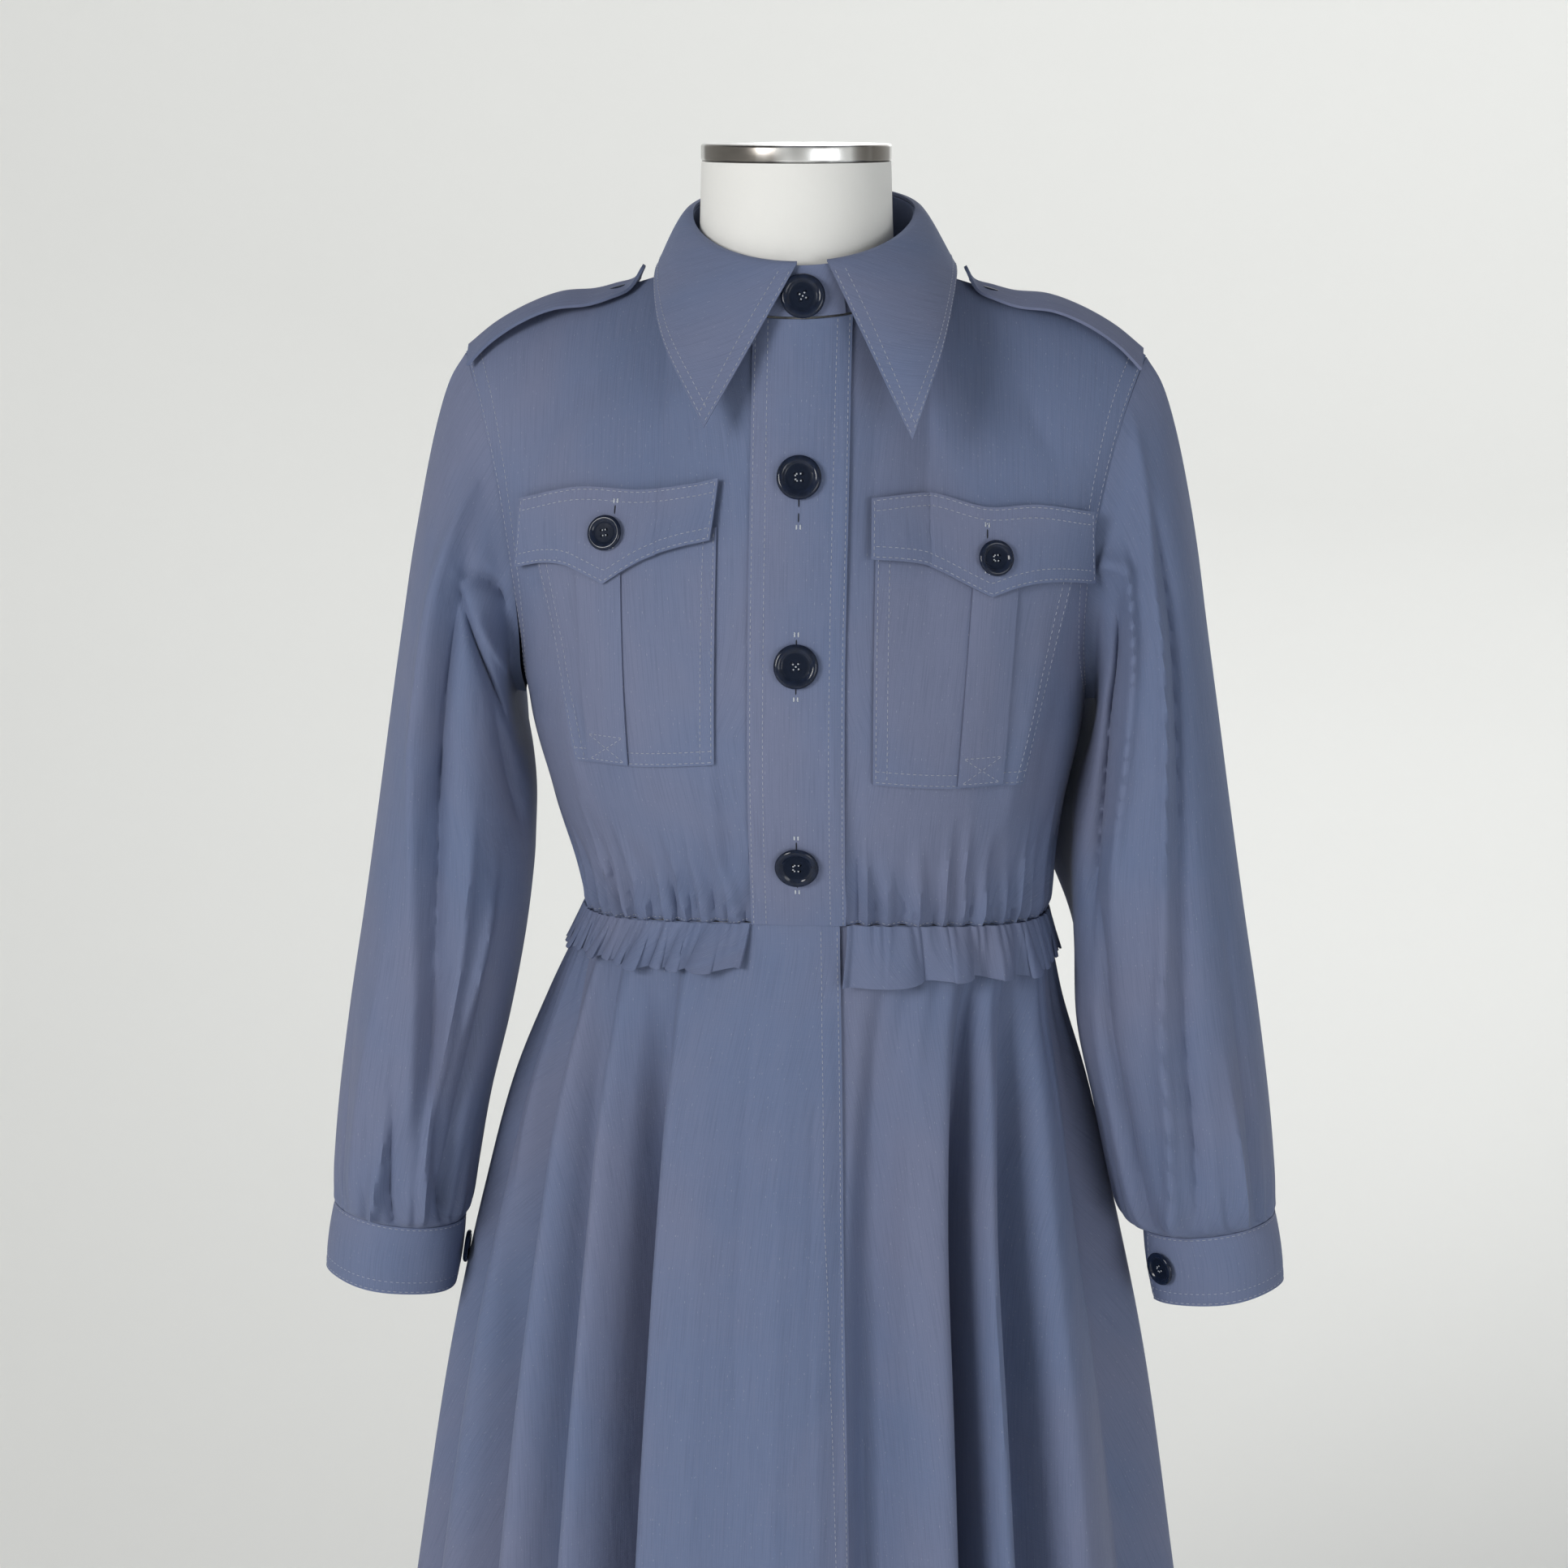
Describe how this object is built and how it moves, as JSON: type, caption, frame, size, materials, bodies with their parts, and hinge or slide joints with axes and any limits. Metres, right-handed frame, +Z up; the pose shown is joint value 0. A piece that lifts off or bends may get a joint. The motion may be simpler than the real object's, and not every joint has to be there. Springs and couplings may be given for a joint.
{
  "type": "coat dress on a limbless dress form",
  "caption": "Long-sleeved coat dress with a gathered waist frill, flap pockets, shoulder straps and a flared skirt, on a limbless dress form with a pole stand.",
  "frame": {"origin": "centre of the flat underside of the stand's base, on the floor", "axes": "+Z up, the dress faces -Y, and the wearer's left side is +X"},
  "size_m": [0.5879, 0.4983, 1.4703],
  "materials": {
    "coat_cloth": "slubbed plain weave, soft two-tone sheen",
    "button_navy": "polished",
    "form_cloth": "matte cover, stretched smooth",
    "cap_chrome": "mirror polish",
    "stand_steel": "satin"
  },
  "bodies": {
    "root": {"back": "coat_cloth", "button_band": "coat_cloth", "button_cuff_left": "button_navy", "button_cuff_right": "button_navy", "button_flap_left": "button_navy", "button_flap_right": "button_navy", "button_front_1": "button_navy", "button_front_2": "button_navy", "button_front_3": "button_navy", "button_front_4": "button_navy", "button_strap_left": "button_navy", "button_strap_right": "button_navy", "collar": "coat_cloth", "collar_stand": "coat_cloth", "cuff_left": "coat_cloth", "cuff_right": "coat_cloth", "flap_left": "coat_cloth", "flap_right": "coat_cloth", "form_body": "form_cloth", "frill_back": "coat_cloth", "frill_left": "coat_cloth", "frill_right": "coat_cloth", "front_left": "coat_cloth", "front_right": "coat_cloth", "neck_cap": "cap_chrome", "pocket_left": "coat_cloth", "pocket_pleat_left": "coat_cloth", "pocket_pleat_right": "coat_cloth", "pocket_right": "coat_cloth", "shoulder_strap_left": "coat_cloth", "shoulder_strap_right": "coat_cloth", "skirt_back": "coat_cloth", "skirt_front_left": "coat_cloth", "skirt_front_right": "coat_cloth", "sleeve_left": "coat_cloth", "sleeve_right": "coat_cloth", "stand_base": "stand_steel", "stand_pole": "stand_steel"}
  },
  "joints": []
}
